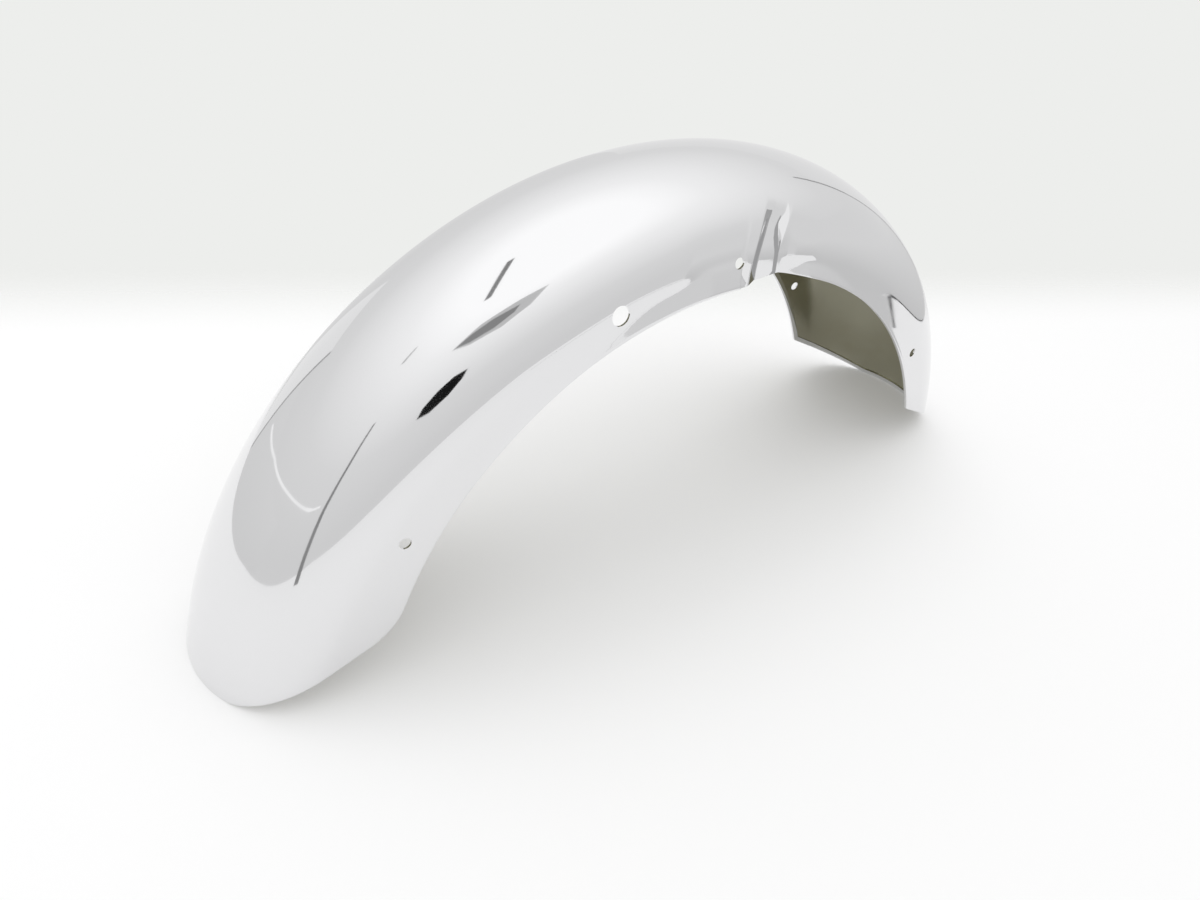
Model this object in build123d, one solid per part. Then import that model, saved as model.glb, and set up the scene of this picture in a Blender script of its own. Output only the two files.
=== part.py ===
"""Front mudguard of a motorcycle: one pressed and chromed sheet, standing on its two ends.

X runs forward along the guard, Y to the left, Z up. The origin is on the ground, midway
between the two ends, and the wheel's axle crosses the Z axis below it.
Places along the guard are angles at the axle, from straight up and positive forward,
and depths are measured inwards from the outside of the crown.
"""
import os
from math import asin, cos, degrees, radians, sin, tan

from build123d import *

# Sheet and section: a top arc, a shoulder arc on each side, then leaning walls
sheet = 1.2                   # thickness of the pressed sheet
crown_radius = 350.0          # axle to the outside of the crown
top_arc_radius = 85.7
top_arc_spread = 28.0         # angle of the top arc on each side of the middle
shoulder_radius = 52.8
wall_lean = 5.0               # each wall spreads outwards by this angle

# Ends: a flat under each tip, then a slope up to the wall edge
end_angle = 78.2              # angle to each tip
tip_flat = 8.0                # length of the flat that the guard stands on
rear_end_slope = 23.5         # rise of the rear cut from the ground, in degrees
front_end_slope = 26.5
rear_corner_radius = 45.0     # rounding where the rear cut meets the wall edge
front_corner_radius = 2.5

# Lower edges of the walls: one arc behind the fork recess and one in front of it
rear_depth_at_recess = 66.0
rear_mid_angle = -33.0
rear_depth_at_mid = 70.5
rear_far_angle = -70.0        # just past the end cut
rear_depth_at_far = 88.0
front_depth_at_recess = 62.0
front_mid_angle = 36.0
front_depth_at_mid = 70.6
front_far_angle = 72.0        # just past the end cut
front_depth_at_far = 70.8

# Hem folded flat against the inside along every edge
hem_width = 4.5

# Fork recess in each wall
recess_depth = 4.5            # its floor lies this far inside the wall and the crown
recess_back = 6.0             # forward of the axle, where its rear side starts at the wall edge
recess_width = 33.0
recess_bend = 42.0            # depth where its sides start to lean forward
recess_lean = 18.0            # how far they have leaned forward at the top
recess_top = 19.0             # depth of its top
recess_rear_rounding = 18.0   # of its outline, at the bend
recess_top_rounding = 8.0
recess_front_rounding = 18.0
rim_radius = 0.6              # innermost radius of its rolled rim

# Bolt holes through both walls, and a cable hole in the right wall
stay_hole = 7.5
rear_stay_angle = -52.7
rear_stay_depth = 59.5
front_stay_angle = 53.2
front_stay_depth = 58.5
bracket_hole = 7.0
bracket_angle = -0.4
bracket_depth = 50.0
cable_hole = 12.5
cable_angle = -18.0
cable_depth = 50.0

axle_z = -crown_radius * cos(radians(end_angle))
tip_x = crown_radius * sin(radians(end_angle))
top_z = axle_z + crown_radius
shoulder_y = (top_arc_radius - shoulder_radius) * sin(radians(top_arc_spread))
half_width = shoulder_y + shoulder_radius * cos(radians(wall_lean))   # where the walls start
recess_nose = recess_back + recess_width
axle = Axis((0, 0, axle_z), (0, 1, 0))
clear = 4 * hem_width         # how far cutting shapes stand clear of the sheet
form_depth = max(rear_depth_at_far, front_depth_at_far) + clear


def at(angle, depth):
    """Point in side view at an angle from straight up and a depth below the crown."""
    reach = crown_radius - depth
    return reach * sin(radians(angle)), axle_z + reach * cos(radians(angle))


def angle_at(x, depth):
    """Angle of the point that lies x forward of the axle at a depth below the crown."""
    return degrees(asin(x / (crown_radius - depth)))


def section(inset):
    """Filled section across the guard at its top, set in from the outside."""
    middle, foot = top_z - top_arc_radius, top_z - form_depth
    shoulder_z = middle + (top_arc_radius - shoulder_radius) * cos(radians(top_arc_spread))
    turn = 90 - top_arc_spread - wall_lean
    with BuildSketch(Plane.YZ) as face:
        with BuildLine():
            CenterArc((0, middle), top_arc_radius - inset, 90 - top_arc_spread, 2 * top_arc_spread)
            left = CenterArc((shoulder_y, shoulder_z), shoulder_radius - inset, wall_lean, turn)
            right = CenterArc((-shoulder_y, shoulder_z), shoulder_radius - inset, 180 - wall_lean, -turn)
            spread = (left @ 0).X + ((left @ 0).Y - foot) * tan(radians(wall_lean))
            Polyline(left @ 0, (spread, foot), (-spread, foot), right @ 0)
        make_face()
    return face.sketch


def plain_form(inset):
    """The section swung round the axle, past both ends."""
    swing = 2 * end_angle + 12
    return revolve(section(inset), axle, swing).rotate(axle, -swing / 2)


def recess_block(side, grow):
    """Block through one wall with the outline of the recess in side view, grown all round."""
    foot = top_z - form_depth - clear
    bend, top = top_z - recess_bend, top_z - recess_top
    roundings = (recess_rear_rounding, recess_top_rounding, recess_top_rounding, recess_front_rounding)
    with BuildSketch(Plane.XZ) as outline:
        with BuildLine():
            path = FilletPolyline(
                (recess_back, foot),
                (recess_back, bend),
                (recess_back + recess_lean, top),
                (recess_nose + recess_lean, top),
                (recess_nose, bend),
                (recess_nose, foot),
                radius=roundings,
            )
            Line(path @ 1, path @ 0)
        make_face()
        if grow:
            offset(amount=grow, kind=Kind.INTERSECTION)
    return extrude(outline.sketch, -side * (half_width + 2 * clear))


def form(inset):
    """Filled form of the guard, set in from its outside, with both recesses pressed in."""
    plain = plain_form(inset)
    floor = plain_form(inset + recess_depth)
    blocks = [recess_block(side, inset) for side in (1, -1)]
    body = plain
    for block in blocks:
        body = body - (block - floor)
    rims = []
    for edge in body.edges():
        middle = Vertex(edge @ 0.5)
        on_sides = any(block.shell().distance_to(middle) < 0.01 for block in blocks)
        if on_sides and plain.shell().distance_to(middle) < 0.01 and middle.Z > top_z - form_depth + 1:
            rims.append(edge)
    return fillet(rims, rim_radius + 2 * sheet - inset)


def side_outline():
    """What is kept of the form in side view: end cuts, wall edges and room above the crown."""
    reach = tip_x + clear
    foot = top_z - 2 * crown_radius
    rear_start = angle_at(recess_back, rear_depth_at_recess)
    front_start = angle_at(recess_nose, front_depth_at_recess)
    with BuildSketch(Plane.XZ) as outline:
        with BuildLine():
            Polyline((-reach, 0), (-reach, top_z + clear), (reach, top_z + clear), (reach, 0), close=True)
        make_face()
        with BuildLine():
            rear = ThreePointArc(
                at(rear_far_angle, rear_depth_at_far),
                at(rear_mid_angle, rear_depth_at_mid),
                at(rear_start, rear_depth_at_recess),
            )
            front = ThreePointArc(
                at(front_start, front_depth_at_recess),
                at(front_mid_angle, front_depth_at_mid),
                at(front_far_angle, front_depth_at_far),
            )
            Line(rear @ 1, front @ 0)
            Polyline(front @ 1, ((front @ 1).X, foot), ((rear @ 0).X, foot), rear @ 0)
        make_face(mode=Mode.SUBTRACT)
        for way, slope in ((-1, rear_end_slope), (1, front_end_slope)):
            start = way * (tip_x - tip_flat)
            inner = start - way * tip_x
            rise = tip_x * tan(radians(slope))
            with BuildLine():
                Polyline((start, 0), (inner, rise), (inner, 0), close=True)
            make_face(mode=Mode.SUBTRACT)
        corners = outline.vertices().filter_by(
            lambda v: 0 < v.Y < top_z and recess_nose < abs(v.X) < reach - 1
        )
        fillet(corners.sort_by(Axis.X)[0], rear_corner_radius)
        fillet(corners.sort_by(Axis.X)[-1], front_corner_radius)
    return outline.sketch


def through(outline):
    """The outline in side view, carried through the whole width."""
    return extrude(outline, half_width + 2 * clear, both=True)


def drill(angle, depth, diameter, sides=(1, -1)):
    """Pins that cut a hole through the wall on each side."""
    x, z = at(angle, depth)
    length = half_width + clear
    return [Pos(x, side * length / 2, z) * Rot(90, 0, 0) * Cylinder(diameter / 2, length) for side in sides]


outline = side_outline()
inner_outline = offset(outline, -hem_width, kind=Kind.INTERSECTION)
blade = form(0) & through(outline)
blade = blade - (form(sheet) & through(inner_outline)) - form(2 * sheet)

holes = (
    drill(rear_stay_angle, rear_stay_depth, stay_hole)
    + drill(front_stay_angle, front_stay_depth, stay_hole)
    + drill(bracket_angle, bracket_depth, bracket_hole)
    + drill(cable_angle, cable_depth, cable_hole, sides=(-1,))
)
mudguard_blade = blade - holes
mudguard_blade.label = "mudguard_blade"

os.makedirs("parts", exist_ok=True)
export_step(mudguard_blade, "parts/mudguard_blade.step")
print("solids", len(mudguard_blade.solids()), "volume", round(mudguard_blade.volume))
print(mudguard_blade.bounding_box())
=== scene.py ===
# %% [markdown]
# # A chromed front mudguard
# The mudguard is one steel sheet, pressed into an arch that follows the front tyre, with its edges
# folded over and the whole thing polished and chromed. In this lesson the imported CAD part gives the
# frame, a finer sheet is modelled over it, and chrome, a floor and a soft dome of light finish it.
# Everything is in metres: X runs forward along the guard, Y to its left and Z up.

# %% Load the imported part
from math import acos, asin, atan2, cos, degrees, hypot, radians, sin, sqrt, tan

import bmesh
import bpy
from mathutils import Matrix, Vector


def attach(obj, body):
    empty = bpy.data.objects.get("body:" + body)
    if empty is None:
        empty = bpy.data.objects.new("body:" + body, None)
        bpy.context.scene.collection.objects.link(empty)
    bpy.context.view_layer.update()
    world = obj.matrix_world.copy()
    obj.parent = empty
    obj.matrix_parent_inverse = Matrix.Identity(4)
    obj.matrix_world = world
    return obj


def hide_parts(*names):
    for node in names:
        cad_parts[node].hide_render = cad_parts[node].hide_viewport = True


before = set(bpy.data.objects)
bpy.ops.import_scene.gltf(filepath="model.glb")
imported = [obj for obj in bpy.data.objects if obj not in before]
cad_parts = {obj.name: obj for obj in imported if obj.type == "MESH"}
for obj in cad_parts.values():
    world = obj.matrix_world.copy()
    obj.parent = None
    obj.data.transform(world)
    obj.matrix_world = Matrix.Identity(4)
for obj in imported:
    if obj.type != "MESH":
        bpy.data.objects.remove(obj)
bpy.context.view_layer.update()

# %% [markdown]
# ## The camera
# The photograph was taken from close by with a wide lens, so the near end looms large. Its place and
# tilt were found by matching the outline of the arch, and they come first, because every later choice
# is seen through this lens.

# %% Camera
mm = 0.001
camera_right = Vector((0.79955, -0.59234, 0.09928))
camera_up = Vector((0.29121, 0.52691, 0.79847))
camera_place = Vector((-383.2, -400.5, 444.5)) * mm

camera_data = bpy.data.cameras.new("photo_camera")
camera_data.sensor_fit = "HORIZONTAL"
camera_data.sensor_width = 36.0
camera_data.lens = 26.02
camera_data.clip_start = 0.01
camera = bpy.data.objects.new("photo_camera", camera_data)
bpy.context.scene.collection.objects.link(camera)
turn = Matrix((camera_right, camera_up, camera_right.cross(camera_up))).transposed()
camera.matrix_world = Matrix.Translation(camera_place) @ turn.to_4x4()
bpy.context.scene.camera = camera
print("camera stands", round(camera_place.length, 3), "m from the origin")

# %% [markdown]
# ## The section
# Cut across, the guard is a gentle top arc, a tighter shoulder on each side and a wall that leans out
# a little. One vertex is enough to draw it: spinning a vertex leaves an arc of edges behind it, and
# extruding it leaves a straight line. Only the right half is drawn, because a mirror makes the left.

# %% Draw half the section
crown_radius = 350 * mm
end_angle = radians(78.2)
axle_drop = crown_radius * cos(end_angle)
top_z = crown_radius - axle_drop
top_arc_radius = 85.7 * mm
top_arc_spread = radians(28)
shoulder_radius = 52.8 * mm
wall_lean = radians(5)
shoulder_turn = radians(90) - top_arc_spread - wall_lean
shoulder_y = (top_arc_radius - shoulder_radius) * sin(top_arc_spread)
shoulder_depth = top_arc_radius - (top_arc_radius - shoulder_radius) * cos(top_arc_spread)
wall_y = shoulder_y + shoulder_radius * cos(wall_lean)
wall_depth = shoulder_depth - shoulder_radius * sin(wall_lean)
hem_width = 4.5 * mm
draft_depth = 72 * mm          # the walls start this deep, before they are trimmed
top_arc_steps, shoulder_steps, wall_steps, hem_steps = 14, 30, 10, 2

bpy.ops.object.select_all(action="DESELECT")
bpy.ops.mesh.primitive_plane_add(size=mm)
guard = bpy.context.object
guard.name = guard.data.name = "mudguard_sheet"
bpy.ops.object.mode_set(mode="EDIT")
bpy.ops.mesh.select_all(action="SELECT")
bpy.ops.mesh.merge(type="CENTER")
bpy.ops.transform.translate(value=(0, 0, top_z))
bpy.ops.mesh.spin(
    steps=top_arc_steps, angle=-top_arc_spread, center=(0, 0, top_z - top_arc_radius), axis=(1, 0, 0)
)
bpy.ops.mesh.spin(
    steps=shoulder_steps,
    angle=-shoulder_turn,
    center=(0, -shoulder_y, top_z - shoulder_depth),
    axis=(1, 0, 0),
)
wall_row = (draft_depth - hem_width - wall_depth) / wall_steps
for row in [wall_row] * wall_steps + [hem_width / hem_steps] * hem_steps:
    bpy.ops.mesh.extrude_vertices_move(TRANSFORM_OT_translate={"value": (0, -row * tan(wall_lean), -row)})
print("section has", len(bmesh.from_edit_mesh(guard.data).verts), "points")

# %% [markdown]
# ## The arch
# A press tool for a mudguard is turned about the wheel's axle, so the section is spun about the axle
# too. The steps are fine around the fork recess, which has tight bends, and coarser elsewhere.

# %% Spin the section about the axle
axle = (0, 0, -axle_drop)
recess_zone = (radians(-2), radians(14))
recess_columns = (16, 160)     # behind the axle and ahead of it
rear_columns, front_columns = 76, 64


def select_vertices(test):
    """Selects the sheet's vertices that pass a test, and the edges and faces between them."""
    bpy.ops.mesh.select_all(action="DESELECT")
    sheet = bmesh.from_edit_mesh(guard.data)
    for vertex in sheet.verts:
        vertex.select = test(vertex.co)
    sheet.select_flush(True)
    bmesh.update_edit_mesh(guard.data)


def swing(angle, steps):
    """Spins the selected profile forward about the axle, or back for a negative angle."""
    bpy.ops.mesh.spin(steps=steps, angle=-angle, center=axle, axis=(0, 1, 0))


bpy.ops.mesh.select_all(action="SELECT")
swing(recess_zone[1], recess_columns[1])
swing(end_angle - recess_zone[1], front_columns)
select_vertices(lambda place: abs(place.x) < 1e-6)
swing(recess_zone[0], recess_columns[0])
swing(-end_angle - recess_zone[0], rear_columns)
bpy.ops.mesh.select_all(action="SELECT")
bpy.ops.mesh.remove_doubles(threshold=1e-6)
bpy.ops.mesh.normals_make_consistent(inside=False)
bpy.ops.object.mode_set(mode="OBJECT")
crown_face = max(guard.data.polygons, key=lambda face: face.center.z)
if crown_face.normal.z < 0:
    guard.data.flip_normals()
print("half arch has", len(guard.data.polygons), "faces")

# %% [markdown]
# ## Trimming the edges
# On the real sheet a trimming tool cuts the ends and the lower edges after pressing. Cutting a mesh
# would leave slivers, which show as ripples in chrome, so the rows and columns slide along the sheet
# until the last ones lie on the cut. The line 4.5 mm inside each cut is a row too, for the hem.

# %% Slide the rows and columns to the cuts
tip_flat = 8 * mm
end_slopes = {-1: radians(23.5), 1: radians(26.5)}
corner_radii = {-1: 45 * mm, 1: 2.5 * mm}
tip_x = crown_radius * sin(end_angle)
recess_back, recess_nose = 6 * mm, 39 * mm
rear_notch_depth, front_notch_depth = 66 * mm, 62 * mm
rear_edge_far, rear_edge_middle = (radians(-70), 88 * mm), (radians(-33), 70.5 * mm)
front_edge_middle, front_edge_far = (radians(36), 70.6 * mm), (radians(72), 70.8 * mm)
slide_start = radians(40)      # columns nearer the top than this stay where they are
end_columns = (end_angle - recess_zone[1]) / front_columns


def side_point(angle, depth):
    """Place in side view, from the axle, at an angle from straight up and a depth below the crown."""
    return Vector((sin(angle), cos(angle))) * (crown_radius - depth)


def circle_through(a, b, c):
    """Centre and radius of the circle through three points in side view."""
    ab, ac = b - a, c - a
    cross = 2 * (ab.x * ac.y - ab.y * ac.x)
    x = (ac.y * ab.length_squared - ab.y * ac.length_squared) / cross
    y = (ab.x * ac.length_squared - ac.x * ab.length_squared) / cross
    return a + Vector((x, y)), Vector((x, y)).length


rear_start = asin(recess_back / (crown_radius - rear_notch_depth))
front_start = asin(recess_nose / (crown_radius - front_notch_depth))
notch = side_point(rear_start, rear_notch_depth), side_point(front_start, front_notch_depth)
edges = {
    -1: circle_through(side_point(*rear_edge_far), side_point(*rear_edge_middle), notch[0]),
    1: circle_through(notch[1], side_point(*front_edge_middle), side_point(*front_edge_far)),
}


def edge_depth(angle):
    """Depth of the wall's lower edge: an arc behind the recess, an arc ahead, a line between."""
    way = Vector((sin(angle), cos(angle)))
    if rear_start < angle < front_start:
        a, b = notch
        reach = (a.x * b.y - a.y * b.x) / (way.x * (b.y - a.y) - way.y * (b.x - a.x))
        return crown_radius - reach
    centre, radius = edges[-1 if angle <= rear_start else 1]
    along = centre.dot(way)
    return crown_radius - along - sqrt(along * along - centre.length_squared + radius * radius)


def slope_line(end):
    """Upward normal of the slope at the rear end (-1) or front end (1), and its reach from the axle."""
    normal = Vector((end * sin(end_slopes[end]), cos(end_slopes[end])))
    return normal, normal.dot(Vector((end * (tip_x - tip_flat), axle_drop)))


def cut_angle(end, reach, inside):
    """Angle of an end's cut for a row at this reach from the axle, moved inside the sheet."""
    flat = acos(min(1, (axle_drop + inside) / reach))
    slope = end_slopes[end] + acos(min(1, (slope_line(end)[1] + inside) / reach))
    return min(flat, slope)


def row_depth(drafted, angle):
    """Depth of a row at an angle: the wall's rows are squeezed or stretched to its lower edge."""
    if drafted <= wall_depth + 1e-6:
        return drafted
    edge = edge_depth(angle)
    if drafted > draft_depth - hem_width:
        return edge - (draft_depth - drafted)
    share = (drafted - wall_depth) / (draft_depth - hem_width - wall_depth)
    return wall_depth + share * (edge - hem_width - wall_depth)


def slid_place(angle, drafted):
    """Angle and depth of a draft point once its row and column lie on the trimmed sheet."""
    way = -1 if angle < 0 else 1
    size = abs(angle)
    if size <= slide_start:
        return angle, row_depth(drafted, angle)
    hem_start = end_angle - hem_steps * end_columns
    cut = hem = end_angle
    for _ in range(12):        # a row's depth and its cut depend on each other, so both settle by turns
        cut = cut_angle(way, crown_radius - row_depth(drafted, way * cut), 0)
        hem = cut_angle(way, crown_radius - row_depth(drafted, way * hem), hem_width)
    if size > hem_start:
        size = hem + (cut - hem) * (size - hem_start) / (end_angle - hem_start)
    else:
        size = slide_start + (hem - slide_start) * (size - slide_start) / (hem_start - slide_start)
    return way * size, row_depth(drafted, way * size)


def spread_at(depth):
    """How far the sheet stands from the middle at a depth on the shoulder or the wall."""
    if depth < wall_depth:
        return shoulder_y + sqrt(shoulder_radius**2 - (shoulder_depth - depth) ** 2)
    return wall_y + (depth - wall_depth) * tan(wall_lean)


for vertex in guard.data.vertices:
    x, y, z = vertex.co
    drafted = crown_radius - hypot(x, z + axle_drop)
    angle, depth = slid_place(atan2(x, z + axle_drop), drafted)
    if drafted > wall_depth + 1e-6:
        y = -spread_at(depth)
    place = side_point(angle, depth)
    vertex.co = place.x, y, place.y - axle_drop
print("lowest point in mm", round(1000 * min(v.co.z for v in guard.data.vertices), 3))

# %% [markdown]
# ## Rounded corners
# Where an end cut meets a lower edge, the sheet has a rounded corner: wide at the rear, small at the
# front. Each point of the corner keeps its distance from the outline and is drawn in towards the
# rounding's centre, so the hem line goes round the corner in step with the edge.

# %% Round the corners of the walls
corner_zone = 100 * mm         # only points further along than this belong to a corner
crown_depth = top_arc_radius * (1 - cos(top_arc_spread))


def rounding_centre(end):
    """Centre of the circle that touches an end's slope and its lower edge from inside the sheet."""
    normal, slope_reach = slope_line(end)
    along = Vector((end * normal.y, -end * normal.x))
    foot = normal * (slope_reach + corner_radii[end])
    offset = foot - edges[end][0]
    half = along.dot(offset)
    far = edges[end][1] + corner_radii[end]
    return foot + along * (sqrt(half**2 - offset.length_squared + far**2) - half)


def corner_way(end, place):
    """Direction of a place from the rounding's centre, if the place is in the corner."""
    centre = rounding_centre(end)
    to_edge, to_slope = (edges[end][0] - centre).normalized(), -slope_line(end)[0]
    middle, offset = (to_edge + to_slope).normalized(), place - centre
    if offset.length and offset.normalized().dot(middle) > middle.dot(to_edge):
        return offset.normalized()
    return None


def straight_distance(end, place):
    """Distance of a place from the nearer of an end's slope and its lower edge, corner unrounded."""
    normal, slope_reach = slope_line(end)
    centre, radius = edges[end]
    return min(normal.dot(place) - slope_reach, (place - centre).length - radius)


for end, radius in corner_radii.items():
    moved = 0
    for vertex in guard.data.vertices:
        place = Vector((vertex.co.x, vertex.co.z + axle_drop))
        if end * place.x < corner_zone or crown_radius - place.length < crown_depth:
            continue
        way, distance = corner_way(end, place), straight_distance(end, place)
        if way and distance < radius:
            place = rounding_centre(end) + way * (radius - distance)
            vertex.co = place.x, -spread_at(crown_radius - place.length), place.y - axle_drop
            moved += 1
    print("corner rounded with", moved, "points")

# %% [markdown]
# ## A flared lower edge
# Near the fork the lowest one or two centimetres of each wall turn out a little. It is hardly more
# than a millimetre, but chrome shows it: the reflected floor ends above the edge and the pale wall
# shows again below it.
# The turned strip is straight, meets the wall in a soft bend, and narrows away towards the rear. The
# wall above it sinks in slightly, so the edge itself stays inside the width of the guard.

# %% Flare the lower edge
flare_slope = tan(radians(8.5))
flare_reach = 1.3 * mm         # the edge stands out by no more than this
flare_bend, flare_blend = 1.5 * mm, 26 * mm
outward_share = 0.6            # of the strip's rise; the rest is how far the wall above it sinks
narrow_strip, middle_strip, wide_strip, front_strip = 2.5 * mm, 12 * mm, 18 * mm, 10 * mm
least_strip = 0.1 * mm
first_widening, second_widening = (-26, -12), (-10, -5)     # angles in degrees
rear_narrowing, front_narrowing = (-44, -38), (14, 30)
strip_stop, strip_return = (-3 * mm, 8 * mm), (42 * mm, 70 * mm)


def fade(value, start, end):
    """Smooth step from 0 at the start to 1 at the end."""
    t = max(0.0, min(1.0, (value - start) / (end - start)))
    return t * t * (3 - 2 * t)


def flare_width(x, along):
    """Width of the turned strip at an angle in degrees; the recess and both ends have none."""
    in_recess = fade(x, *strip_stop) * (1 - fade(x, *strip_return))
    if along >= 0:
        return front_strip * (1 - fade(along, *front_narrowing)) * (1 - in_recess)
    widening = (middle_strip - narrow_strip) * fade(along, *first_widening)
    widening += (wide_strip - middle_strip) * fade(along, *second_widening)
    return (narrow_strip + widening) * fade(along, *rear_narrowing) * (1 - in_recess)


def flare(width, above):
    """How far out the sheet stands at a distance above its lower edge."""
    reach = min(flare_reach, outward_share * flare_slope * width)
    bend = min(flare_bend, width)
    sunk = (reach - flare_slope * width) * (1 - fade(above, width, width + flare_blend))
    if above < width - bend:
        return reach - flare_slope * above
    return sunk + flare_slope * max(0.0, width + bend - above) ** 2 / (4 * bend)


widest = 0.0
for vertex in guard.data.vertices:
    x, y, z = vertex.co
    angle, depth = atan2(x, z + axle_drop), crown_radius - hypot(x, z + axle_drop)
    width, on_wall = flare_width(x, degrees(angle)), y < -0.8 * wall_y
    if on_wall and width > least_strip:
        vertex.co.y -= flare(width, edge_depth(angle) - depth)
        widest = max(widest, -vertex.co.y)
print("walls reach", round(1000 * widest, 2), "mm from the middle")

# %% [markdown]
# ## The fork recess
# A pocket in each wall clears the fork leg. Its rear side is an even slope. Its front side is a steep
# riser at the top, and lower down the wall ahead dips into the pocket instead, so the riser tapers
# away. Both sides lean forward towards the shoulder, where the pocket fades out. Chrome shows every
# facet, so the columns of the sheet first lean with the sides, and then each point moves straight in.

# %% Lean the columns with the recess
recess_foot, recess_top = 65 * mm, 19 * mm
riser_foot, riser_top = 50 * mm, 27.3 * mm
rear_lean, front_lean = 22 * mm, 10.5 * mm
rear_curve, front_curve = 2.45, 1.7     # powers that bend the two rims
climb_limit = 1.35                      # the front rim reaches it at about the recess's top
lean_start, lean_end = -16 * mm, 72 * mm
lean_fade = (2 * mm, 16 * mm)           # below the top, where the columns begin to lean


def rear_rim(drop):
    """Where the rear side of the recess starts, drop being measured down from the top."""
    climb = min(1.0, max(0.0, (recess_foot - drop) / (recess_foot - recess_top)))
    return recess_back + rear_lean * climb**rear_curve


def front_rim(drop):
    """Where the riser meets the wall ahead."""
    climb = min(climb_limit, max(0.0, (riser_foot - drop) / (riser_foot - riser_top)))
    return recess_nose + front_lean * climb**front_curve


def leaned(x, drop):
    """The columns through the two rims follow them, and those far away stay where they are."""
    stations = (lean_start, recess_back, recess_nose, lean_end)
    shifts = (0, rear_rim(drop) - recess_back, front_rim(drop) - recess_nose, 0)
    for i in range(3):
        if stations[i] <= x < stations[i + 1]:
            t = (x - stations[i]) / (stations[i + 1] - stations[i])
            return x + fade(drop, *lean_fade) * (shifts[i] + t * (shifts[i + 1] - shifts[i]))
    return x


for vertex in guard.data.vertices:
    x, y, z = vertex.co
    reach = hypot(x, z + axle_drop)
    new_x = leaned(x, top_z - z)
    vertex.co = new_x, y, sqrt(reach * reach - new_x * new_x) - axle_drop
print("columns lean up to", round(1000 * (leaned(recess_back, recess_top) - recess_back), 1), "mm")

# %% Press the recess
recess_depth = 4.5 * mm
rear_ramp = 12 * mm
riser_narrow, riser_wide, riser_taper = 2.4 * mm, 9.4 * mm, 23 * mm
dish_shallow, dish_top, dish_width = 0.3 * mm, 22 * mm, 36 * mm
top_x, top_drop, top_slope, top_ramp = 28 * mm, 15 * mm, 0.36, 16 * mm


def ramp(t, rounding=0.25):
    """Even slope from 0 to 1 with its two ends rounded."""
    t = max(0.0, min(1.0, t))
    if t > 0.5:
        return 1 - ramp(1 - t, rounding)
    return t * t / (2 * rounding * (1 - rounding)) if t < rounding else (t - rounding / 2) / (1 - rounding)


def riser_width(drop):
    """Width of the riser in side view: it tapers away downwards."""
    climb = min(1.0, max(0.0, (riser_foot - drop) / riser_taper))
    return riser_narrow + (riser_wide - riser_narrow) * climb


def recess_inset(x, drop):
    """How far the sheet is pressed in at a place in side view."""
    rim = front_rim(drop)
    dish = dish_shallow + (recess_depth - dish_shallow) * fade(drop, dish_top, riser_foot)
    dip = dish * (1 - ramp((x - rim) / dish_width, rounding=0.2))
    front = dip + (recess_depth - dip) * ramp((rim - x) / riser_width(drop))
    top = top_drop + top_slope * (x - top_x)
    rear = ramp((x - rear_rim(drop)) / rear_ramp, rounding=0.2)
    return front * rear * ramp((drop - top) / top_ramp, rounding=0.45)


def lean_of_normal(y, depth):
    """Angle between straight out from the axle and the sheet's normal, in the section."""
    if y < top_arc_radius * sin(top_arc_spread):
        return asin(y / top_arc_radius)
    if depth < wall_depth:
        return atan2(y - shoulder_y, shoulder_depth - depth)
    return radians(90) - wall_lean


pressed = 0
for vertex in guard.data.vertices:
    x, y, z = vertex.co
    inset = recess_inset(x, top_z - z)
    if inset > 0:
        angle, depth = atan2(x, z + axle_drop), crown_radius - hypot(x, z + axle_drop)
        lean = lean_of_normal(-y, depth)
        place = side_point(angle, depth + inset * cos(lean))
        vertex.co = place.x, y + inset * sin(lean), place.y - axle_drop
        pressed += 1
print("recess presses", pressed, "points")

# %% [markdown]
# ## Sheet thickness and hem
# A mirror makes the left half, and Solidify gives the sheet its 1.2 mm inwards. The edges of the real
# sheet are folded flat against the inside, which stiffens them and hides the raw cut. Here the inner
# faces along every edge are extruded by one more thickness, and the outer corners are rounded over.

# %% Mirror and thicken
sheet_thickness = 1.2 * mm


def apply_modifier(kind, **settings):
    """Adds a modifier of a kind to the sheet with these settings, and applies it."""
    modifier = guard.modifiers.new(kind.lower(), kind)
    for name, value in settings.items():
        setattr(modifier, name, value)
    bpy.ops.object.modifier_apply(modifier=modifier.name)


bpy.ops.object.material_slot_add()
bpy.ops.object.material_slot_add()
apply_modifier("MIRROR", use_axis=(False, True, False), merge_threshold=1e-5)
apply_modifier(
    "SOLIDIFY", thickness=sheet_thickness, offset=-1, use_even_offset=True, material_offset=1
)
print("sheet has", len(guard.data.polygons), "faces")

# %% Fold the hem
inside = 1                     # the slot of the inner faces that Solidify made
hem_reach = 0.96 * hem_width   # takes in the hem's rows and stops short of the next


def edge_distance(place):
    """Distance of a place in side view from the sheet's trimmed outline."""
    end = -1 if place.x < recess_back else 1
    if corner_way(end, place):
        return corner_radii[end] - (place - rounding_centre(end)).length
    if recess_back < place.x < recess_nose:
        along = (notch[1] - notch[0]).normalized()
        return along.x * (place.y - notch[0].y) - along.y * (place.x - notch[0].x)
    return min(place.y - axle_drop, straight_distance(end, place))


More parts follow.
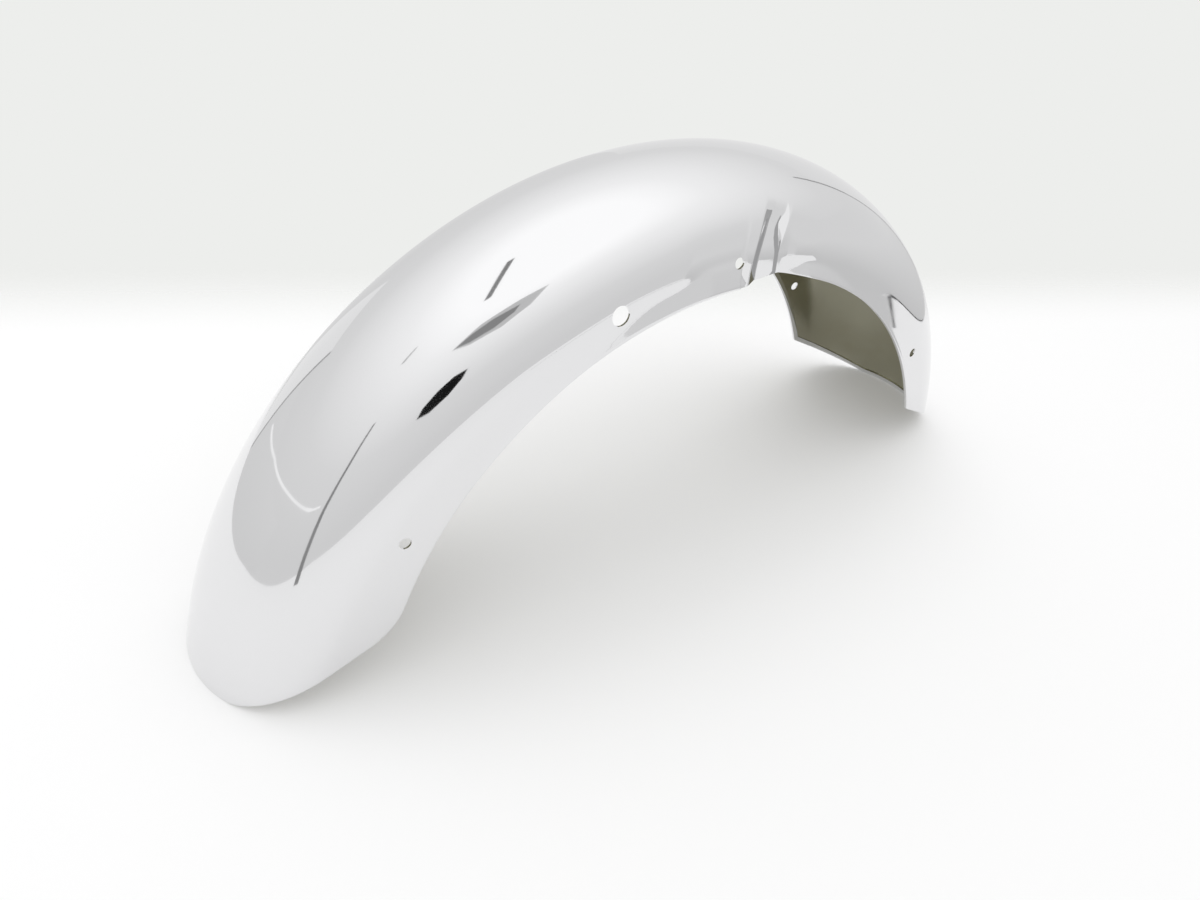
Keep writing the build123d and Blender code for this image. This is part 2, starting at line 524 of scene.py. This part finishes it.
bpy.ops.object.mode_set(mode="EDIT")
bpy.ops.mesh.select_mode(type="FACE")
bpy.ops.mesh.select_all(action="DESELECT")
sheet = bmesh.from_edit_mesh(guard.data)
for face in sheet.faces:
    centre = face.calc_center_median()
    close = edge_distance(Vector((centre.x, centre.z + axle_drop))) < hem_reach
    face.select = close and face.material_index == inside
print("hem takes", sum(face.select for face in sheet.faces), "faces")
bmesh.update_edit_mesh(guard.data)
bpy.ops.mesh.extrude_region_shrink_fatten(TRANSFORM_OT_shrink_fatten={"value": sheet_thickness})
bpy.context.object.active_material_index = 0
bpy.ops.object.material_slot_assign()
bpy.ops.object.mode_set(mode="OBJECT")

# %% Trim the folded ends flat
# The hem's second layer reaches past the end cuts, so what is under a cut moves back up to it.
for vertex in guard.data.vertices:
    end = -1 if vertex.co.x < 0 else 1
    normal, slope_reach = slope_line(end)
    under = slope_reach - normal.dot(Vector((vertex.co.x, vertex.co.z + axle_drop)))
    if under > 0:
        vertex.co.x += under * normal.x
        vertex.co.z += under * normal.y
    vertex.co.z = max(0.0, vertex.co.z)
print("lowest point in mm", round(1000 * min(v.co.z for v in guard.data.vertices), 3))

# %% Round the folded edge
fold_rounding = 0.9 * mm
fold_angle = radians(55)
bpy.ops.object.mode_set(mode="EDIT")
bpy.ops.mesh.select_mode(type="EDGE")
bpy.ops.mesh.select_all(action="DESELECT")
sheet = bmesh.from_edit_mesh(guard.data)
for edge in sheet.edges:
    edge.select = edge.is_manifold and edge.calc_face_angle_signed() > fold_angle
print("fold rounds", sum(edge.select for edge in sheet.edges), "edges")
bmesh.update_edit_mesh(guard.data)
bpy.ops.mesh.bevel(offset=fold_rounding, segments=3, profile=0.5, clamp_overlap=True)
bpy.ops.object.mode_set(mode="OBJECT")

# %% [markdown]
# ## Bolt holes
# Three pairs of holes take the stays and the fork bracket, and one larger hole in the right wall lets
# a cable through. They are pierced after pressing, so they are cut last, by cylinders across the wall.

# %% Cut the holes
holes = (                      # angle in degrees, depth and diameter in mm, and which walls
    (-52.7, 59.5, 7.5, (-1, 1)),
    (53.2, 58.5, 7.5, (-1, 1)),
    (-0.4, 50.0, 7.0, (-1, 1)),
    (-18.0, 50.0, 12.5, (-1,)),
)
hole_corners, punch_length = 48, 20 * mm
smooth_angle = radians(48)
bpy.ops.object.select_all(action="DESELECT")
cutters = []
for angle, depth, diameter, sides in holes:
    place = side_point(radians(angle), depth * mm)
    for side in sides:
        bpy.ops.mesh.primitive_cylinder_add(
            vertices=hole_corners,
            radius=diameter / 2 * mm,
            depth=punch_length,
            location=(place.x, side * wall_y, place.y - axle_drop),
            rotation=(radians(90), 0, 0),
        )
        cutters.append(bpy.context.object)
for cutter in cutters:
    cutter.select_set(True)
bpy.ops.object.join()
punch = bpy.context.object
bpy.ops.object.select_all(action="DESELECT")
guard.select_set(True)
bpy.context.view_layer.objects.active = guard
apply_modifier("BOOLEAN", operation="DIFFERENCE", solver="EXACT", object=punch)
bpy.data.objects.remove(punch)
bpy.ops.object.shade_smooth_by_angle(angle=smooth_angle)
guard.data.calc_loop_triangles()
print("holes cut, the sheet has", len(guard.data.loop_triangles), "triangles")

# %% [markdown]
# ## Finishes
# The outside is bright decorative chrome over polished steel. It returns about four fifths of the
# light, nearly without colour, and it is so smooth that only a faint waviness of the pressing and a
# little polishing haze show. The inside was never polished: the same plating over a rolled surface
# looks dull and a little brown, like bare nickel.

# %% Helpers for colours and nodes


def colour(hex_value):
    """Linear colour of an sRGB hex value."""
    channels = [int(hex_value[i : i + 2], 16) / 255 for i in (1, 3, 5)]
    return [c / 12.92 if c <= 0.04045 else ((c + 0.055) / 1.055) ** 2.4 for c in channels] + [1]


def add_node(tree, kind, inputs=None, stops=None, **settings):
    """Adds a node, sets its properties and ramp stops, and fills or links its inputs."""
    node = tree.nodes.new(kind)
    for name, value in settings.items():
        setattr(node, name, value)
    if stops:
        elements = node.color_ramp.elements
        while len(elements) < len(stops):
            elements.new(1.0)
        for element, (position, shade) in zip(elements, stops):
            element.position, element.color = position, shade
    for socket, value in (inputs or {}).items():
        if isinstance(value, bpy.types.NodeSocket):
            tree.links.new(value, node.inputs[socket])
        else:
            node.inputs[socket].default_value = value
    return node


def new_material(name):
    """An empty node material."""
    material = bpy.data.materials.new(name)
    material.use_nodes = True
    material.node_tree.nodes.clear()
    return material, material.node_tree


print("middle grey is", round(colour("#808080")[0], 3), "in linear light")

# %% Polished chrome
wave_length = 45 * mm
haze_size = 12 * mm
chrome, tree = new_material("polished_chrome")
place = add_node(tree, "ShaderNodeTexCoord").outputs["Object"]
waves = add_node(tree, "ShaderNodeTexNoise", {"Vector": place, "Scale": 1 / wave_length, "Detail": 1.0})
haze = add_node(tree, "ShaderNodeTexNoise", {"Vector": place, "Scale": 1 / haze_size, "Detail": 3.0})
bump = add_node(
    tree, "ShaderNodeBump", {"Height": waves.outputs["Fac"], "Strength": 0.5, "Distance": 0.08 * mm}
)
roughness = add_node(
    tree, "ShaderNodeMapRange", {"Value": haze.outputs["Fac"], "To Min": 0.03, "To Max": 0.075}
)
shader = add_node(
    tree,
    "ShaderNodeBsdfPrincipled",
    {
        "Base Color": colour("#E6E6E7"),
        "Metallic": 1.0,
        "Roughness": roughness.outputs["Result"],
        "Normal": bump.outputs["Normal"],
    },
)
add_node(tree, "ShaderNodeOutputMaterial", {"Surface": shader.outputs["BSDF"]})
print(chrome.name, "has", len(tree.nodes), "nodes")

# %% Dull plating inside
grain_size = 1.5 * mm
stain_size = 60 * mm
dull, tree = new_material("dull_plating")
place = add_node(tree, "ShaderNodeTexCoord").outputs["Object"]
stain = add_node(tree, "ShaderNodeTexNoise", {"Vector": place, "Scale": 1 / stain_size, "Detail": 4.0})
grain = add_node(tree, "ShaderNodeTexNoise", {"Vector": place, "Scale": 1 / grain_size, "Detail": 2.0})
tone = add_node(
    tree,
    "ShaderNodeValToRGB",
    {"Fac": stain.outputs["Fac"]},
    [(0.35, colour("#AAA794")), (0.65, colour("#B7B5A3"))],
)
bump = add_node(
    tree, "ShaderNodeBump", {"Height": grain.outputs["Fac"], "Strength": 0.4, "Distance": 0.05 * mm}
)
shader = add_node(
    tree,
    "ShaderNodeBsdfPrincipled",
    {
        "Base Color": tone.outputs["Color"],
        "Metallic": 1.0,
        "Roughness": 0.24,
        "Normal": bump.outputs["Normal"],
    },
)
add_node(tree, "ShaderNodeOutputMaterial", {"Surface": shader.outputs["BSDF"]})
print(dull.name, "has", len(tree.nodes), "nodes")

# %% Put the finishes on
guard.material_slots[0].material = chrome
guard.material_slots[inside].material = dull
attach(guard, "root")
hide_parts("mudguard_blade")
print("finishes are", [slot.material.name for slot in guard.material_slots])

# %% [markdown]
# ## Floor and light
# The guard stands in a small white tent. Chrome shows little but its surroundings, so these matter as
# much as the metal: a white floor that ends a short way off, pale walls that are darkest at the
# horizon and a bright top. A plane gives the floor, and the world gives the walls and the top.
# The floor keeps the shadow, and for the eye and for chrome it is lifted towards white. Its far edge
# fades away, as paper does that sweeps up into the wall.

# %% White floor
floor_size = 2.0
floor_turn = radians(-24.3)
wall_distance = 0.42
sweep_start = 0.6 * wall_distance
floor_lift = 0.18              # the share of plain white in what the eye and chrome see
# Matt white paper has no shine, so it shows soft shadows and nothing else.
floor, tree = new_material("white_paper")
rays = add_node(tree, "ShaderNodeLightPath")
seen = add_node(
    tree,
    "ShaderNodeMath",
    {0: rays.outputs["Is Camera Ray"], 1: rays.outputs["Is Glossy Ray"]},
    operation="MAXIMUM",
)
lift = add_node(tree, "ShaderNodeMath", {0: seen.outputs["Value"], 1: floor_lift}, operation="MULTIPLY")
paper = add_node(tree, "ShaderNodeBsdfDiffuse", {"Color": colour("#F6F6F6")})
glow = add_node(tree, "ShaderNodeEmission", {"Color": colour("#FFFFFF"), "Strength": 1.0})
mixed = add_node(
    tree,
    "ShaderNodeMixShader",
    {0: lift.outputs["Value"], 1: paper.outputs["BSDF"], 2: glow.outputs["Emission"]},
)
place = add_node(tree, "ShaderNodeTexCoord").outputs["Object"]
far = add_node(tree, "ShaderNodeSeparateXYZ", {"Vector": place}).outputs["Y"]
sweep = add_node(
    tree,
    "ShaderNodeMapRange",
    {"Value": far, "From Min": sweep_start, "From Max": wall_distance},
    interpolation_type="SMOOTHSTEP",
)
open_end = add_node(tree, "ShaderNodeBsdfTransparent")
faded = add_node(
    tree,
    "ShaderNodeMixShader",
    {0: sweep.outputs["Result"], 1: mixed.outputs["Shader"], 2: open_end.outputs["BSDF"]},
)
add_node(tree, "ShaderNodeOutputMaterial", {"Surface": faded.outputs["Shader"]})

bpy.ops.object.select_all(action="DESELECT")
bpy.ops.mesh.primitive_plane_add(size=floor_size, location=(0, wall_distance - floor_size / 2, 0))
ground = bpy.context.object
ground.name = "floor"
bpy.ops.object.transform_apply(location=True, rotation=False, scale=False)
ground.rotation_euler = (0, 0, floor_turn)
ground.data.materials.append(floor)
print("floor fades out", wall_distance, "m from the middle of the guard")

# %% Dome of light
world = bpy.data.worlds.new("white_tent")
bpy.context.scene.world = world
world.use_nodes = True
tree = world.node_tree
tree.nodes.clear()
way = add_node(tree, "ShaderNodeTexCoord").outputs["Generated"]
height = add_node(tree, "ShaderNodeSeparateXYZ", {"Vector": way}).outputs["Z"]
shades = ((0.0, 0.755), (0.37, 0.82), (0.60, 0.94), (0.79, 1.06), (0.92, 1.21))
dome = add_node(tree, "ShaderNodeValToRGB", {"Fac": height}, [(at, (g, g, g, 1)) for at, g in shades])
wall = add_node(tree, "ShaderNodeBackground", {"Color": colour("#EDEEEC"), "Strength": 1.0})
tent = add_node(tree, "ShaderNodeBackground", {"Color": dome.outputs["Color"], "Strength": 1.0})
seen = add_node(tree, "ShaderNodeLightPath").outputs["Is Camera Ray"]
both = add_node(
    tree, "ShaderNodeMixShader", {0: seen, 1: tent.outputs["Background"], 2: wall.outputs["Background"]}
)
add_node(tree, "ShaderNodeOutputWorld", {"Surface": both.outputs["Shader"]})
print("dome is", shades[0][1], "at the horizon and", shades[-1][1], "overhead")

# %% [markdown]
# ## A soft lamp
# The tent alone would leave a weak, even shadow. One wide lamp above and a little behind gives the
# shadow a side and pales the floor. It is soft because it is large, and chrome doesn't show it.

# %% Soft lamp above
lamp_data = bpy.data.lights.new("soft_lamp", "AREA")
lamp_data.size = 0.6
lamp_data.energy = 2.6
lamp = bpy.data.objects.new("soft_lamp", lamp_data)
bpy.context.scene.collection.objects.link(lamp)
lamp.location = (-0.15, 0.5, 1.5)
lamp.rotation_euler = (-lamp.location).to_track_quat("-Z", "Y").to_euler()
lamp.visible_camera = lamp.visible_glossy = False
print("lamp hangs", round(lamp.location.length, 2), "m from the origin")

# %% [markdown]
# ## Cards for the chrome
# A photographer sets grey and black cards round chrome, because without dark shapes to reflect it
# looks like white plastic. A card is a plain or graded grey with no shine of its own. The cards here
# are seen by reflections alone: they cast no shadow, give no light and hide nothing from any view.

# %% Make a card
grading_height = 0.22          # a graded card reaches its upper shade here


def set_card(name, corners, shade, top_shade=None, back_shade=None):
    """Stands a grey card where only reflections see it. It may be graded, or have a second side."""
    bpy.ops.object.select_all(action="DESELECT")
    bpy.ops.mesh.primitive_circle_add(vertices=len(corners), fill_type="NGON")
    card = bpy.context.object
    card.name = name
    for vertex, corner in zip(card.data.vertices, corners):
        vertex.co = corner
    material, tree = new_material(name)
    strength = shade
    if top_shade:
        place = add_node(tree, "ShaderNodeTexCoord").outputs["Object"]
        height = add_node(tree, "ShaderNodeSeparateXYZ", {"Vector": place}).outputs["Z"]
        strength = add_node(
            tree,
            "ShaderNodeMapRange",
            {"Value": height, "From Max": grading_height, "To Min": shade, "To Max": top_shade},
        ).outputs["Result"]
    if back_shade:
        behind = add_node(tree, "ShaderNodeNewGeometry").outputs["Backfacing"]
        strength = add_node(
            tree, "ShaderNodeMapRange", {"Value": behind, "To Min": shade, "To Max": back_shade}
        ).outputs["Result"]
    grey = add_node(tree, "ShaderNodeEmission", {"Color": (1, 1, 1, 1), "Strength": strength})
    add_node(tree, "ShaderNodeOutputMaterial", {"Surface": grey.outputs["Emission"]})
    card.data.materials.append(material)
    for ray in ("camera", "diffuse", "transmission", "volume_scatter", "shadow"):
        setattr(card, "visible_" + ray, False)
    print("card", name, "has", len(corners), "corners")


def lens_card(name, places, shade, ahead=0.0):
    """A card in the plane of the lens, its corners so far to the right and up."""
    forward = camera_up.cross(camera_right)
    set_card(
        name,
        [camera_place + camera_right * right + camera_up * up + forward * ahead for right, up in places],
        shade,
    )


def wall_card(name, start, end, height, shade, top_shade=None):
    """An upright card from one floor place to another."""
    set_card(name, [(*start, 0), (*end, 0), (*end, height), (*start, height)], shade, top_shade)


# %% Cards at the lens
lens_card(
    "black_card",
    (
        (-0.05, -0.09),
        (0.005, -0.105),
        (0.055, -0.08),
        (0.07, -0.03),
        (0.06, 0.01),
        (0.01, 0.015),
        (-0.03, -0.01),
        (-0.055, -0.05),
    ),
    0.01,
)
lens_card(
    "grey_card",
    ((-0.11, 0.19), (-0.03, 0.16), (0.08, 0.16), (0.15, 0.22), (0.17, 0.32), (0.07, 0.30), (-0.05, 0.26)),
    0.61,
)
lens_card(
    "dark_card",
    ((-0.10, 0.19), (-0.04, 0.175), (0.04, 0.18), (0.09, 0.22), (0.09, 0.26), (0.0, 0.25), (-0.06, 0.225)),
    0.28,
    0.003,
)
lens_card("short_dash", ((-0.405, 0.32), (-0.39, 0.32), (-0.365, 0.38), (-0.375, 0.38)), 0.42)
lens_card(
    "tent_seam",
    (
        (-0.46, -0.52),
        (-0.415, -0.52),
        (-0.405, -0.39),
        (-0.385, -0.21),
        (-0.345, -0.07),
        (-0.322, 0.06),
        (-0.335, 0.06),
        (-0.365, -0.07),
        (-0.415, -0.21),
        (-0.445, -0.39),
    ),
    0.28,
)

# %% [markdown]
# ## Panels round the floor
# Low pale panels stand at the floor's edge. The walls of the guard are steep, so they reflect what is
# low: the floor first and the panels above it. Thin dark strips stand for seams between them and for a
# slit in the roof, and a bright tape runs behind the rear end. Following a line of sight from the lens
# to the chrome and on shows where a card has to stand.

# %% Cards round the floor
set_card("roof_slit", ((-0.43, -0.08, 1), (-0.40, -0.09, 1), (-0.24, 0.13, 1), (-0.27, 0.14, 1)), 0.25)
wall_card("left_panel", (0.63, -0.85), (0.60, -0.32), 0.4, 0.65, 0.79)
wall_card("right_panel", (0.60, -0.32), (0.80, 0.17), 0.4, 0.65, 0.79)
wall_card("panel_edge", (0.80, 0.17), (0.806, 0.184), 0.6, 0.3)
patch_height, line_height = 1 * mm, 2 * mm
# A grey patch on the floor that only reflections see; it makes that part of the floor darker in the
# chrome.
grey_floor_patch = ((0.60, -0.30), (0.50, -0.222), (0.42, -0.16), (0.40, -0.28), (0.55, -0.44), (0.62, -0.48))
set_card("grey_floor_patch", [(x, y, patch_height) for x, y in grey_floor_patch], 0.66)
floor_lines = {
    "panel_seam": (0.03, ((0.615, -0.300), (0.706, -0.090), (0.690, -0.084), (0.592, -0.290))),
    "panel_return": (0.03, ((0.601, -0.299), (0.501, -0.2215), (0.5025, -0.219), (0.597, -0.289))),
    "floor_seam": (0.4, ((0.62, -0.87), (0.17, -1.21), (0.19, -1.18), (0.63, -0.84))),
}
for name, (shade, corners) in floor_lines.items():
    set_card(name, [(x, y, line_height) for x, y in corners], shade)
wall_card("back_wall", (-0.42, 0.51), (-0.20, 0.62), 0.3, 0.90)
wall_card("right_wall", (0.81, 0.19), (0.45, 0.75), 0.5, 0.83)
wall_card("rear_wall", (-0.43, 0.50), (-1.2, 0.13), 0.22, 0.74, 0.79)
wall_card("rear_edge", (-0.43, 0.50), (-0.42, 0.51), 0.3, 0.4)
tape = (
    (-0.419, 0.329, 0.131),
    (-0.538, 0.226, 0.183),
    (-0.618, 0.062, 0.205),
    (-0.619, -0.104, 0.203),
    (-0.600, -0.160, 0.210),
)
tape_width = Vector((0, 0, 0.006))
set_card("bright_tape", [*map(Vector, tape), *(Vector(at) + tape_width for at in reversed(tape))], 1.05)

# %% [markdown]
# ## Painted shade and highlight at the recess
# The pocket's rear side faces forward along the wall, where all is pale, so in chrome it would vanish.
# A small sheet stands over the riser's foot, seen only in reflections, and its dark side gives that
# side a painted shade. It leans forward, so that the pocket's floor reflects little of it, and its
# other side is white and paints a highlight on the riser.

# %% Painted shade and highlight at the recess
painted_light_drops = [drop * mm for drop in (22, 28, 34, 40, 46, 52, 58, 64, 70, 84)]
painted_light_height = 10 * mm
painted_light_lean, extra_lean, extra_zone = 0.68, 0.25, (42 * mm, 54 * mm)


def painted_light_point(drop, height):
    """Place on the painted shade sheet over the right riser's foot, leaning forward, more so lower down.
    """
    lean = painted_light_lean + extra_lean * fade(drop, *extra_zone)
    x, z = front_rim(drop) - riser_width(drop), top_z - drop
    depth = crown_radius - hypot(x, z + axle_drop)
    return x + lean * height, recess_depth - spread_at(depth) - height, z


painted_light_sheet = [painted_light_point(drop, 0) for drop in painted_light_drops]
painted_light_sheet += [painted_light_point(drop, painted_light_height) for drop in reversed(painted_light_drops)]
# The dark side is painted shade for the pocket's rear side; the white side is a painted highlight on the
# riser.
set_card("recess_painted_shade_and_highlight", painted_light_sheet, 0.42, back_shade=1.0)

# %% [markdown]
# ## The view transform
# The view transform stays Standard, so white paper is white.

# %% View transform
bpy.context.scene.view_settings.view_transform = "Standard"
